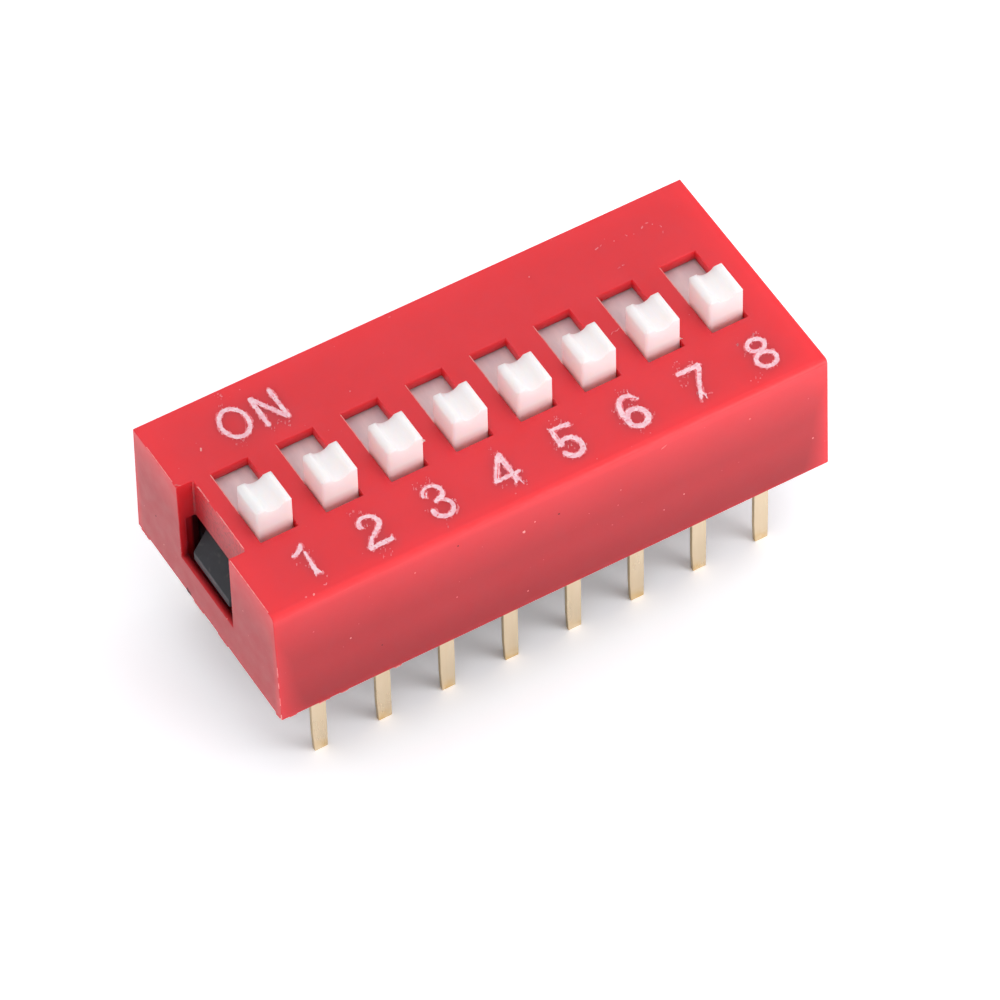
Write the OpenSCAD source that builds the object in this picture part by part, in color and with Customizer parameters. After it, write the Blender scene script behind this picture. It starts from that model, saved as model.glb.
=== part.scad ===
// Eight-position slide switch block for through-hole boards.
// Frame: X runs along the row of positions, +Y points to the ON side, +Z points up.
// The origin is the centre of the seating plane, where the base's rail meets the board.
// The sliders are drawn in the OFF position.

/* [Layout] */
// Number of switch positions
positions = 8; // [2:1:12]
// Distance between neighbouring positions
pitch = 2.54; // [2.4:0.01:2.8]
// Distance between the two rows of pins
row_spacing = 7.62; // [7:0.01:8.4]
// Distance from a row of pins to the inside of the cover's top edge
row_edge = 0.39; // [0.3:0.01:0.8]

/* [Cover] */
// Height of the cover from its rim to its top face
cover_h = 5.3; // [4.8:0.1:7]
// Height of the cover's rim above the board
rim_gap = 0.3; // [0.1:0.05:0.6]
// Thickness of the top wall
top_wall = 0.45; // [0.4:0.05:0.8]
// Thickness of the long side walls
side_wall = 0.65; // [0.5:0.05:1]
// Thickness of the end walls
end_wall = 0.85; // [0.7:0.05:1.2]
// Outward lean of each long side over the cover's height
side_draft = 0.18; // [0:0.01:0.3]
// Radius of the front top edge
front_edge_r = 0.2; // [0.1:0.05:0.5]

/* [Latch] */
// Width of the notch in the first end
notch_w = 3.6; // [3:0.1:5]
// Depth of the notch
notch_d = 0.65; // [0.3:0.05:0.65]
// Radius of the notch's inner corners
notch_corner_r = 0.06; // [0.05:0.01:0.2]
// Height of the notch's sill above the rim
sill_h = 1.6; // [1.2:0.05:1.8]
// Thickness of the sill's wall
sill_t = 0.3; // [0.2:0.05:0.4]
// Depth of the hollow behind the sill
sill_drop = 0.8; // [0.4:0.1:1]
// Drop from the top face to the upper edge of the latch window
window_drop = 1.82; // [1.4:0.02:2]
// Extra width of the window past each side of the notch
window_relief = 0.2; // [0.05:0.05:0.4]
// Width of a latch hook at its root
hook_w = 2.9; // [2:0.1:3.1]
// Reach of the hook that shows in the window
hook_reach = 0.7; // [0.65:0.05:0.75]
// Reach of the hook that catches inside the plain end
blind_hook_reach = 0.35; // [0.2:0.05:0.45]
// Height of a hook's blunt tip
hook_lip = 0.4; // [0.1:0.05:0.5]
// Bevel on each side of a hook
hook_bevel = 0.22; // [0.05:0.01:0.4]

/* [Base] */
// Thickness of the base's floor
floor_h = 2.2; // [1.8:0.05:2.4]
// Thickness of the ribs between the positions
rib_t = 0.34; // [0.2:0.02:0.5]
// Width of the seating rail under the base
rail_w = 2.4; // [1.5:0.1:4]
// Distance from the base's end to the end of the rail
rail_inset = 1.2; // [0.5:0.1:3]

/* [Sliders] */
// Travel of a slider from OFF to ON
travel = 1.6; // [1.4:0.05:1.8]
// Width of a knob
knob_w = 1.38; // [1.1:0.02:1.5]
// Length of a knob along its travel
knob_l = 1.42; // [1:0.02:1.8]
// Height of a knob above the cover's top face
knob_h = 1.26; // [0.6:0.02:2]
// Radius of a knob's upright edges
knob_edge_r = 0.09; // [0.04:0.01:0.2]
// Radius of a knob's front and rear top edges
knob_top_r = 0.11; // [0.03:0.01:0.15]
// Radius of the rims beside the groove along a knob's top
knob_rim_r = 0.19; // [0.05:0.01:0.22]
// Depth of that groove below the rims
groove_d = 0.26; // [0.05:0.01:0.3]
// Thickness of the plate that closes the slot
plate_t = 0.45; // [0.3:0.05:0.6]
// Thickness of the walls round the contact's pocket
pocket_wall = 0.2; // [0.15:0.01:0.24]

/* [Contacts] */
// Width of a moving contact
contact_w = 0.9; // [0.6:0.05:1]
// Thickness of its strip
contact_t = 0.12; // [0.08:0.01:0.16]
// Height of a moving contact
contact_h = 0.9; // [0.7:0.05:1]
// Distance from its middle to each contact point
contact_reach = 1.1; // [1:0.05:1.3]
// Bend radius of the strip
contact_bend_r = 0.2; // [0.12:0.01:0.25]
// Slope of the strip's arms in degrees
contact_slope = 45; // [40:1:55]
// Length of the strip's raised tips
contact_tip = 0.15; // [0.05:0.01:0.3]

/* [Terminals] */
// Width of a pin
pin_w = 0.58; // [0.4:0.02:0.7]
// Thickness of the terminal strip
pin_t = 0.18; // [0.14:0.01:0.3]
// Length of a pin below the board's face
pin_drop = 3.85; // [2.5:0.05:5]
// Width of a pin's cut end
pin_tip_w = 0.52; // [0.3:0.02:0.54]
// Length of the narrowing above the cut end
pin_tip_l = 1; // [0.4:0.1:1.5]
// Share of the narrowing that is on the pin's first side
pin_tip_skew = 0.8; // [0:0.05:1]
// Width of a terminal's contact pad
pad_w = 1; // [0.8:0.05:1.4]
// Inside bend radius where the pad turns into the pin
pad_bend_r = 0.12; // [0.05:0.01:0.25]
// Height of the pin's shoulder above the base's underside
shoulder_h = 0.5; // [0.3:0.05:1]
// Cover of the contact point by the front pad at ON
pad_lap = 0.15; // [0.05:0.05:0.3]
// Open gap between the contact point and the rear pad at OFF
break_gap = 0.5; // [0.3:0.05:0.6]

/* [Clearances] */
// Between the base and the inside of the cover
base_fit = 0.05; // [0.02:0.01:0.08]
// Between a slider's plate and the ribs beside it
guide_gap = 0.05; // [0.02:0.01:0.1]
// Between the outer sliders' plates and the cover's ends
end_gap = 0.11; // [0.1:0.01:0.2]
// Between a slider's plate and the cover's underside
slide_gap = 0.03; // [0.02:0.01:0.06]
// Between a knob and each side of its slot
knob_side_gap = 0.03; // [0.02:0.005:0.06]
// Between a knob and the end of its slot at each end of the travel
knob_end_gap = 0.24; // [0.1:0.02:0.4]
// Extra length of the plate past the slot at each end
plate_lap = 0.1; // [0.05:0.05:0.2]
// Between a slider's lower edge and the base's floor
body_gap = 0.2; // [0.1:0.05:0.3]
// Between a slider's body and the latch tongue beside it
tongue_gap = 0.06; // [0.03:0.01:0.08]
// Between a moving contact and its pocket
pocket_gap = 0.1; // [0.05:0.01:0.12]
// Between a moving contact's points and the floor
contact_gap = 0.02; // [0.01:0.01:0.04]
// Between a terminal and its slot in the base
terminal_fit = 0.02; // [0.01:0.01:0.04]
// Between a hook's lower face and the sill it catches on
catch_gap = 0.35; // [0.05:0.05:0.4]
// Between a hook's upper end and the window's upper edge
hook_top_gap = 0.45; // [0.2:0.05:0.6]
// Between the plain end's hook and its recess
recess_gap = 0.1; // [0.05:0.01:0.15]

/* [Hidden] */
$fn = 48;
// Overshoot of a cut past the face it opens
cut = 0.5;

// Lengths along X
plate_w = pitch - rib_t - 2 * guide_gap;
half_span = (positions - 1) * pitch / 2;
inner_x = half_span + plate_w / 2 + end_gap;
outer_x = inner_x + end_wall;
base_x = inner_x - base_fit;

// Heights
rim_z = rim_gap;
top_z = rim_z + cover_h;
under_z = top_z - top_wall;
floor_z = rim_z + floor_h;
sill_z = rim_z + sill_h;
window_z = top_z - window_drop;
catch_z = sill_z + catch_gap;
hook_z = window_z - hook_top_gap;
plate_z = under_z - slide_gap;
plate_low_z = plate_z - plate_t;
body_z = floor_z + body_gap;
pocket_z = floor_z + contact_h;
knob_z = top_z + knob_h;
pin_z = -pin_drop;
shoulder_z = rim_z + shoulder_h;

// Lengths along Y
row_y = row_spacing / 2;
top_y = row_y + row_edge + side_wall;
draft_slope = side_draft / cover_h;
draft_angle = atan(draft_slope);
slot_l = knob_l + travel + 2 * knob_end_gap;
slot_w = knob_w + 2 * knob_side_gap;
plate_l = slot_l + travel + 2 * plate_lap;
on_y = travel / 2;
off_y = -on_y;

// Moving contact: lengths along its strip, measured on the middle of its thickness
strip_drop = contact_h - contact_gap - contact_t;
bend_run = contact_bend_r * sin(contact_slope);
bend_drop = contact_bend_r * (1 - cos(contact_slope));
arm_l = (strip_drop - 2 * bend_drop) / sin(contact_slope);
arm_run = arm_l * cos(contact_slope);
flat_half = contact_reach - 2 * bend_run - arm_run;
tip_run = contact_tip * cos(contact_slope) + contact_t / 2;
contact_half = contact_reach + bend_run + tip_run;
strip_z = pocket_z - contact_t / 2;
bend_steps = 6;

// Slider body round the contact
pocket_l = 2 * (contact_half + pocket_gap);
pocket_w = contact_w + 2 * pocket_gap;
body_l = pocket_l + 2 * pocket_wall;
body_w = pocket_w + 2 * pocket_wall;

// Latch tongues stand between the outer sliders' bodies and the cover's ends
tongue_t = base_x - (half_span + body_w / 2 + tongue_gap);

// Inner ends of the contact pads, measured from the middle towards each terminal's own row
front_pad_y = contact_reach - on_y - pad_lap;
rear_pad_y = contact_reach - on_y + break_gap;

function turn(angle) = [cos(angle), sin(angle)];
function position_x(i) = (i - 1) * pitch - half_span;
function outer_y(z) = top_y + (top_z - z) * draft_slope;
function inner_y(z) = outer_y(z) - side_wall;

// Extrudes a profile drawn in (y, z) along X, centred on the YZ plane
module along_x(length) {
    rotate([90, 0, 90]) translate([0, 0, -length / 2]) linear_extrude(length) children();
}

// Extrudes a profile drawn in (x, z) along Y, centred on the XZ plane
module along_y(length) {
    rotate([90, 0, 0]) translate([0, 0, -length / 2]) linear_extrude(length) children();
}

// Block centred in X and Y, from z0 to z1
module block(size_x, size_y, z0, z1) {
    translate([-size_x / 2, -size_y / 2, z0]) cube([size_x, size_y, z1 - z0]);
}

// Rectangle centred on the origin with round corners
module round_rect(size_x, size_y, r) {
    square([size_x - 2 * r, size_y], center = true);
    square([size_x, size_y - 2 * r], center = true);
    for (sx = [-1, 1], sy = [-1, 1]) {
        translate([sx * (size_x / 2 - r), sy * (size_y / 2 - r)]) circle(r);
    }
}

// Section of a curved strip, swept from angle a0 to angle a1 about the origin
module strip_arc(r, t, a0, a1) {
    far = 2 * (r + t);
    intersection() {
        difference() {
            circle(r + t / 2);
            circle(r - t / 2);
        }
        polygon([[0, 0], far * turn(a0), far * turn(a1)]);
    }
}

// Outer cross-section of the cover: leaning sides, a square rear edge and a round front edge
module cover_section() {
    arc_z = top_z - front_edge_r;
    arc_y = -outer_y(arc_z) + front_edge_r / cos(draft_angle);
    side_touch = [
        arc_y - front_edge_r * cos(draft_angle),
        arc_z + front_edge_r * sin(draft_angle)
    ];
    polygon([
        [-outer_y(rim_z), rim_z],
        [outer_y(rim_z), rim_z],
        [top_y, top_z],
        [arc_y, top_z],
        [arc_y, arc_z],
        side_touch
    ]);
    translate([arc_y, arc_z]) circle(front_edge_r);
}

// Hollow cross-section that runs the length of the cover's inside
module cavity_section() {
    low_z = rim_z - cut;
    polygon([
        [-inner_y(low_z), low_z],
        [inner_y(low_z), low_z],
        [inner_y(under_z), under_z],
        [-inner_y(under_z), under_z]
    ]);
}

// Notch in the first end, open to the top, with the latch window and the hollow behind its sill
module end_notch() {
    open_x = inner_x - cut;
    window_x = outer_x - sill_t;
    translate([-outer_x, 0, sill_z]) linear_extrude(cover_h) round_rect(2 * notch_d, notch_w, notch_corner_r);
    translate([-(open_x + outer_x) / 2, 0, 0]) block(outer_x - open_x, notch_w, sill_z, window_z);
    translate([-(open_x + window_x) / 2, 0, 0])
        block(window_x - open_x, notch_w + 2 * window_relief, sill_z - sill_drop, window_z);
}

// Recess inside the plain end for its hook
module end_recess() {
    recess_d = blind_hook_reach - base_fit + recess_gap;
    translate([inner_x, 0, 0]) block(2 * recess_d, hook_w + 2 * recess_gap, sill_z, window_z);
}

module cover() {
    color([0.84, 0.16, 0.2]) difference() {
        along_x(2 * outer_x) cover_section();
        along_x(2 * inner_x) cavity_section();
        for (i = [1 : positions]) {
            translate([position_x(i), 0, 0]) block(slot_w, slot_l, under_z - cut, top_z + cut);
        }
        end_notch();
        end_recess();
    }
}

// Latch at the +X end of the base: a tongue with a ramped hook
module latch(reach) {
    translate([base_x - tongue_t / 2, 0, 0]) block(tongue_t, hook_w, floor_z - cut, hook_z);
    root_x = base_x - tongue_t / 2;
    tip_x = base_x + reach;
    intersection() {
        along_y(hook_w) polygon([
            [root_x, catch_z],
            [tip_x, catch_z],
            [tip_x, catch_z + hook_lip],
            [base_x, hook_z],
            [root_x, hook_z]
        ]);
        linear_extrude(top_z) polygon([
            [root_x, -hook_w / 2],
            [base_x, -hook_w / 2],
            [tip_x, -hook_w / 2 + hook_bevel],
            [tip_x, hook_w / 2 - hook_bevel],
            [base_x, hook_w / 2],
            [root_x, hook_w / 2]
        ]);
    }
}

// Room in the base for a terminal on the +Y side
module terminal_slot(pad_y) {
    leg_l = pin_t + 2 * terminal_fit;
    shoulder_l = pad_w + 2 * terminal_fit;
    pin_l = pin_w + 2 * terminal_fit;
    pad_end = row_y + leg_l / 2;
    pad_start = pad_y - terminal_fit;
    translate([0, (pad_start + pad_end) / 2, 0])
        block(shoulder_l, pad_end - pad_start, floor_z - pin_t, floor_z + cut);
    translate([0, row_y, 0]) block(shoulder_l, leg_l, shoulder_z, floor_z + cut);
    translate([0, row_y, 0]) block(pin_l, leg_l, rim_z - cut, floor_z + cut);
}

module base() {
    color([0.13, 0.13, 0.14]) difference() {
        union() {
            along_x(2 * base_x) polygon([
                [-inner_y(rim_z) + base_fit, rim_z],
                [inner_y(rim_z) - base_fit, rim_z],
                [inner_y(floor_z) - base_fit, floor_z],
                [-inner_y(floor_z) + base_fit, floor_z]
            ]);
            for (i = [1 : positions - 1]) {
                translate([position_x(i) + pitch / 2, 0, 0])
                    block(rib_t, plate_l + travel, floor_z - cut, under_z);
            }
            latch(blind_hook_reach);
            mirror([1, 0, 0]) latch(hook_reach);
            block(2 * (base_x - rail_inset), rail_w, 0, rim_z + cut);
        }
        for (i = [1 : positions]) {
            translate([position_x(i), 0, 0]) {
                terminal_slot(rear_pad_y);
                mirror([0, 1, 0]) terminal_slot(front_pad_y);
            }
        }
    }
}

// Cross-section of a knob: two round rims with a round groove between them, each curve running into the next
module knob_section() {
    rim_x = knob_w / 2 - knob_rim_r;
    arc_z = knob_z - knob_rim_r;
    groove_r = (rim_x * rim_x + groove_d * groove_d) / (2 * groove_d) - knob_rim_r;
    groove_arc_z = knob_z - groove_d + groove_r;
    touch = [rim_x, arc_z] + knob_rim_r / (groove_r + knob_rim_r) * [-rim_x, groove_arc_z - arc_z];
    for (side = [-1, 1]) {
        translate([side * rim_x, arc_z]) circle(knob_rim_r);
    }
    difference() {
        polygon([
            [-knob_w / 2, plate_low_z],
            [knob_w / 2, plate_low_z],
            [knob_w / 2, arc_z],
            [rim_x, arc_z],
            touch,
            [-touch.x, touch.y],
            [-rim_x, arc_z],
            [-knob_w / 2, arc_z]
        ]);
        translate([0, groove_arc_z]) circle(groove_r);
    }
}

// Knob drawn about its own middle
module knob() {
    intersection() {
        translate([0, 0, plate_low_z]) linear_extrude(knob_z - plate_low_z)
            round_rect(knob_w, knob_l, knob_edge_r);
        along_x(knob_w) {
            translate([0, knob_z - knob_l / 2]) round_rect(knob_l, knob_l, knob_top_r);
            translate([-knob_l / 2, plate_low_z]) square([knob_l, knob_z - knob_l / 2 - plate_low_z]);
        }
        along_y(knob_l) knob_section();
    }
}

module slider(i) {
    color([0.95, 0.94, 0.92]) translate([position_x(i), off_y, 0]) {
        knob();
        block(plate_w, plate_l, plate_low_z, plate_z);
        difference() {
            block(body_w, body_l, body_z, plate_low_z + plate_t / 2);
            block(pocket_w, pocket_l, body_z - cut, pocket_z);
        }
    }
}

// One side of the strip's outer half, at a distance from the middle of its thickness
function half_strip(side) = concat(
    [for (k = [0 : bend_steps])
        [flat_half, strip_z - contact_bend_r]
        + (contact_bend_r + side) * turn(90 - contact_slope * k / bend_steps)],
    [for (k = [-bend_steps : bend_steps])
        [contact_reach, strip_z - strip_drop + contact_bend_r]
        + (contact_bend_r - side) * turn(-90 + contact_slope * k / bend_steps)],
    [[contact_reach + bend_run, strip_z - strip_drop + bend_drop]
        + contact_tip * turn(contact_slope) + side * turn(contact_slope + 90)]
);
function backwards(points) = [for (k = [len(points) - 1 : -1 : 0]) points[k]];
function mirrored(points) = [for (p = backwards(points)) [-p.x, p.y]];
function whole_strip(side) = concat(mirrored(half_strip(side)), half_strip(side));

// Cross-section of the moving contact: a flat middle, two arms and two raised tips
module contact_section() {
    polygon(concat(whole_strip(contact_t / 2), backwards(whole_strip(-contact_t / 2))));
}

module contact(i) {
    color([0.83, 0.69, 0.4]) translate([position_x(i), off_y, 0])
        along_x(contact_w) contact_section();
}

// Terminal on the +Y side: a pad let into the floor, bent down into a pin
module terminal(pad_y) {
    bend_mid_r = pad_bend_r + pin_t / 2;
    bend_y = row_y - bend_mid_r;
    bend_z = floor_z - pin_t / 2 - bend_mid_r;
    tip_cut = pin_w - pin_tip_w;
    tip_z = pin_z + pin_tip_l;
    along_x(pad_w) {
        translate([pad_y, floor_z - pin_t]) square([bend_y - pad_y, pin_t]);
        translate([bend_y, bend_z]) strip_arc(bend_mid_r, pin_t, 0, 90);
    }
    translate([0, row_y, 0]) along_y(pin_t) polygon([
        [-pad_w / 2, bend_z],
        [-pad_w / 2, shoulder_z],
        [-pin_w / 2, shoulder_z],
        [-pin_w / 2, tip_z],
        [-pin_w / 2 + tip_cut * pin_tip_skew, pin_z],
        [pin_w / 2 - tip_cut * (1 - pin_tip_skew), pin_z],
        [pin_w / 2, tip_z],
        [pin_w / 2, shoulder_z],
        [pad_w / 2, shoulder_z],
        [pad_w / 2, bend_z]
    ]);
}

module rear_terminal(i) {
    color([0.85, 0.72, 0.45]) translate([position_x(i), 0, 0]) terminal(rear_pad_y);
}

module front_terminal(i) {
    color([0.85, 0.72, 0.45]) translate([position_x(i), 0, 0]) mirror([0, 1, 0]) terminal(front_pad_y);
}

cover();
base();
for (i = [1 : positions]) {
    slider(i);
    contact(i);
    front_terminal(i);
    rear_terminal(i);
}
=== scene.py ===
"""Looks of an eight-position slide switch block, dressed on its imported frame."""

import math
from typing import NamedTuple

import bmesh
import bpy
import numpy as np
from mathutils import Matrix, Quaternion, Vector


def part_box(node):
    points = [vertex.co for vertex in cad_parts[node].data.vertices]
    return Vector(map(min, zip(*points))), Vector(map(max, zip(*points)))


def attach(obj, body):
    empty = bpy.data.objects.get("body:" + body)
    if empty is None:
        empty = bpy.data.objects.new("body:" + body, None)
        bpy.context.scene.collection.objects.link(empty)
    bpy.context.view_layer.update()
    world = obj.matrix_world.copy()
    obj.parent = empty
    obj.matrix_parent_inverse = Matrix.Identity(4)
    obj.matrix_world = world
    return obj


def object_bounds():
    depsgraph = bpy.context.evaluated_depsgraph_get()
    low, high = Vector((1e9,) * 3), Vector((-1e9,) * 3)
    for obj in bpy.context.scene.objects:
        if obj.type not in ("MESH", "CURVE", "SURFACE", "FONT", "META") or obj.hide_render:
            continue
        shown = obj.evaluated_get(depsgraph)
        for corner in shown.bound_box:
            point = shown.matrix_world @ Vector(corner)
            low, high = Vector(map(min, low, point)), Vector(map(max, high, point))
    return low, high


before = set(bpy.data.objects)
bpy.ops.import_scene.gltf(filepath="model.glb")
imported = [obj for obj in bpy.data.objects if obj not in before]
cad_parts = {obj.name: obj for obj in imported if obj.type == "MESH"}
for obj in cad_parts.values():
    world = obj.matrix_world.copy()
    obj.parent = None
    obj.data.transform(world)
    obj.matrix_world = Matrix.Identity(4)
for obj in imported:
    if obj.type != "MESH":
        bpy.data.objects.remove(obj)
cad_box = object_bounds()

# Lengths below are in millimetres of the part's own frame, and MM turns them into metres
MM = 0.001
POSITIONS = range(1, 9)
cover_low, cover_high = (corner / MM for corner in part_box("cover"))
top_z = cover_high.z
floor_z = cad_box[0].z / MM

# Camera, found by fitting the cover's corners, the slots and the pins to the photograph
CAMERA_PLACE = (-82.371, -147.771, 206.385)
CAMERA_AZIMUTH = -29.32
CAMERA_ELEVATION = 50.673
CAMERA_ROLL = -1.598
CAMERA_LENS = 277.32
SENSOR_WIDTH = 36.0
CLIP_START = 10.0

# Studio light
SKY_ZENITH = 1.25
SKY_HORIZON = 0.22
KEY_PLACE = (50.0, -60.0, 20.0)
KEY_SIZE = 60.0
KEY_POWER = 0.034
FLOOR_REACH = 1500.0
FLOOR_SEEN = (1.30, 1.32, 1.36, 1.0)
FLOOR_LIGHTING = (0.85, 0.85, 0.86, 1.0)

# Edge rounding left by the moulds and by stamping
EDGE_WELD = 0.0001
COVER_EDGE = 0.035
BASE_EDGE = 0.03
METAL_EDGE = 0.02
EDGE_SEGMENTS = 2
EDGE_ANGLE = 28.0
FLAT_ANGLE = 0.1

# Lean of the cover's long sides over its height
COVER_DRAFT = 0.18

# Painted shade on the red walls: darker downwards, less so by their upright edges
SHADE_LOW = 0.8
SHADE_CURVE = 1.7
SHADE_END = 9.9
SHADE_WALL = (4.6, 4.85)
END_LIT = (0.40, 0.68)
LOW_BAND = (0.6, 2.2)
LOW_LIT = 0.25

# Painted highlight along the rounded front edge: distances in from the front, and heights over the top face
HIGHLIGHT_IN = (0.45, 0.31)
HIGHLIGHT_RISE = (-0.5, -0.1)
HIGHLIGHT_SHARE = 0.55

# Painted shade in the notch and its window: distances in from the notched end, half widths, and heights
SILL_IN = (0.05, 0.32)
SILL_HALF_WIDTH = (1.95, 1.85)
SILL_HEIGHT = (2.5, 1.9)
WINDOW_IN = (0.54, 0.64)
WINDOW_HALF_WIDTH = (2.1, 2.0)
WINDOW_HEIGHT = (3.9, 3.75)
HOLLOW_IN = (1.2, 1.0)
HOLLOW_HEIGHT = (1.2, 1.6)

# Grain on the back wall of the notch, measured in the same way
BACK_IN = (0.45, 0.6)
BACK_END = (0.75, 0.70)
BACK_HALF_WIDTH = (1.85, 1.79)
BACK_HEIGHT = (3.6, 3.8)
BACK_RISE = (-0.02, -0.08)
GRAIN_SHARE = 0.6

# Painted shade and painted red bounce light on the white plastic by the cover, as heights over its top face
PLATE_RISE = -0.48
PAINTED_SHADE_RISE = 0.3
FOOT_UPPER = (0.30, -0.05)
FOOT_LOWER = (-0.46, -0.38)
FOOT_BOUNCE_SHARE = 0.4

# Pins are duller towards their tips, and painted shade makes the faces that face along X a deeper gold
PIN_TIP = 0.6
TIP_SHARE = 0.9
SIDE_FACING = (0.5, 0.9)
SIDE_SHADE_SHARE = 0.8

# Noise levels between which a texture runs from none to all
EVEN = (0.3, 0.7)
CLEAR = (0.35, 0.65)

# Colours, in pairs where noise blends two
RED_OPEN = ((0.83, 0.036, 0.051), (0.87, 0.040, 0.057))
RED_PAINTED_SHADE = (0.38, 0.007, 0.014)
RED_PAINTED_HIGHLIGHT = (0.95, 0.058, 0.070)
RED_PAINTED_NOTCH_SHADE = (0.06, 0.003, 0.005)
RED_GRAIN = (0.34, 0.020, 0.026)
RED_DUST = (0.9, 0.2, 0.22)
RED_FLASH = ((0.90, 0.20, 0.21), (0.93, 0.42, 0.40))
DIRT = ((0.04, 0.008, 0.010), (0.16, 0.020, 0.025))
BLACK = ((0.010, 0.010, 0.014), (0.020, 0.020, 0.027))
BLACK_DUST = (0.055, 0.050, 0.052)
WHITE = (0.98, 0.97, 0.94)
WHITE_PAINTED_SHADE_AND_BOUNCE = ((0.73, 0.56, 0.58), (0.90, 0.67, 0.67))
WHITE_PAINTED_BOUNCE = (0.98, 0.44, 0.44)
WHITE_SPECK = (0.55, 0.50, 0.48)
GOLD = ((0.77, 0.64, 0.455), (0.745, 0.605, 0.415))
BRASS = ((0.90, 0.72, 0.42), (0.82, 0.62, 0.32))
GOLD_PAINTED_SHADE = (0.52, 0.38, 0.19)
GOLD_TIP = (0.66, 0.46, 0.20)
INK = ((0.90, 0.47, 0.55), (0.95, 0.68, 0.74))
INK_PIT = (0.82, 0.28, 0.33)
INK_THIN = ((0.86, 0.09, 0.12), (0.91, 0.28, 0.32))

# Print on the cover's top face, worn and dragged along one slant
PRINT_CELL = 0.018
PLACE_DIGITS = 6
SHORTEST_SPAN = 1e-6
PRINT_MARGIN = 0.2
PRINT_RISE = 0.008
THIN_RISE = 0.004
PRINT_SINK = 0.003
PRINT_HALF_WIDTH = 0.09
PRINT_SHRINK = 0.012
PRINT_ROUGH = 0.014
ROUGH_CELLS = (0.05, 0.13)
CRACK_ROUGH = 0.4
FRINGE_REACH = 0.02
FRINGE_ROUGH = 0.06
FRINGE_CELL = 0.045
SLANT = 62.0
SLANT_STRETCH = 0.35
ARC_STEPS = 25
DIGIT_SHIFT = 0.19
DIGIT_ROW_Y = -3.3

# Specks of ink, chips and scratches: sizes, and how uneven their outlines are
SPECK_SIZE = (0.012, 0.034)
DRAG_LENGTH = (0.03, 0.09)
DRAG_WIDTH = 0.6
SPOT_CORNERS = 10
SPOT_UNEVEN = (0.65, 1.2)
STREAK_STEPS = 9
STREAK_UNEVEN = (0.6, 1.2)
STREAK_POINT = 0.3

# Slivers of plastic left by the moulds
FLASH_STEP = 0.03
FLASH_HALF_WIDTH = 0.016
FLASH_UNEVEN = (0.15, 1.0)
FLASH_POINT = 0.2
FLASH_INSET = 0.02
CORNER_LEAN = (-0.6, -0.8, 0)
FRONT_RIM_LEAN = (0, -0.5, -0.5)
END_RIM_LEAN = (-0.5, 0, -0.5)
SLOT_HALF_WIDTH = 0.72
NOTCH_DEPTH = 0.65
KNOB_HALF_WIDTH = 0.69
KNOB_FRONT = -1.51
KNOB_CORNER = 0.026
KNOB_SIDE = (-0.7, 0.7, 0)
KNOB_LEAN = (0.8, -0.6, 0.1)

# Starts of the random draws
LEGEND_SEED = 40
TOP_SEED = 7
MARK_SEED = 17
FLASH_SEED = 23
KNOB_SEED = 31


def slot_x(position):
    """Middle of a position along X."""
    low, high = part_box(f"slider_{position}")
    return (low.x + high.x) / 2 / MM


def front_y(z):
    """Place of the cover's leaning front face at a height."""
    return cover_low.y + COVER_DRAFT * (z - cover_low.z) / (top_z - cover_low.z)


# Camera and light


def make_camera():
    data = bpy.data.cameras.new("camera")
    data.lens = CAMERA_LENS
    data.sensor_width = SENSOR_WIDTH
    data.clip_start = CLIP_START * MM
    camera = bpy.data.objects.new("camera", data)
    bpy.context.scene.collection.objects.link(camera)
    azimuth, elevation = math.radians(CAMERA_AZIMUTH), math.radians(CAMERA_ELEVATION)
    ahead = Vector((
        -math.sin(azimuth) * math.cos(elevation),
        math.cos(azimuth) * math.cos(elevation),
        -math.sin(elevation),
    ))
    roll = Quaternion((0, 0, 1), math.radians(CAMERA_ROLL))
    camera.location = Vector(CAMERA_PLACE) * MM
    camera.rotation_mode = "QUATERNION"
    camera.rotation_quaternion = ahead.to_track_quat("-Z", "Y") @ roll
    bpy.context.scene.camera = camera


def seen_directly(tree):
    """Socket that is 1 for rays from the camera, mirrors and glass, and 0 for lighting rays."""
    path = tree.nodes.new("ShaderNodeLightPath")
    total = None
    for name in ("Is Camera Ray", "Is Glossy Ray", "Is Transmission Ray"):
        if total is None:
            total = path.outputs[name]
            continue
        either = tree.nodes.new("ShaderNodeMath")
        either.operation = "MAXIMUM"
        tree.links.new(total, either.inputs[0])
        tree.links.new(path.outputs[name], either.inputs[1])
        total = either.outputs[0]
    return total


def make_world():
    """White surroundings where they are seen, and light that falls off from the zenith to the horizon."""
    world = bpy.data.worlds.new("studio")
    world.use_nodes = True
    tree = world.node_tree
    sky = tree.nodes["Background"]
    sky.inputs["Color"].default_value = (1, 1, 1, 1)
    direction = tree.nodes.new("ShaderNodeSeparateXYZ")
    tree.links.new(tree.nodes.new("ShaderNodeTexCoord").outputs["Generated"], direction.inputs["Vector"])
    lighting = tree.nodes.new("ShaderNodeMapRange")
    lighting.inputs["To Min"].default_value = SKY_HORIZON
    lighting.inputs["To Max"].default_value = SKY_ZENITH
    tree.links.new(direction.outputs["Z"], lighting.inputs["Value"])
    strength = tree.nodes.new("ShaderNodeMapRange")
    strength.inputs["To Max"].default_value = 1.0
    tree.links.new(lighting.outputs["Result"], strength.inputs["To Min"])
    tree.links.new(seen_directly(tree), strength.inputs["Value"])
    tree.links.new(strength.outputs["Result"], sky.inputs["Strength"])
    bpy.context.scene.world = world


def make_key_light():
    data = bpy.data.lights.new("key", "AREA")
    data.shape = "DISK"
    data.size = KEY_SIZE * MM
    data.energy = KEY_POWER
    light = bpy.data.objects.new("key", data)
    bpy.context.scene.collection.objects.link(light)
    light.location = Vector(KEY_PLACE) * MM
    light.rotation_mode = "QUATERNION"
    light.rotation_quaternion = (-light.location).to_track_quat("-Z", "Y")
    light.visible_camera = False


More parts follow.
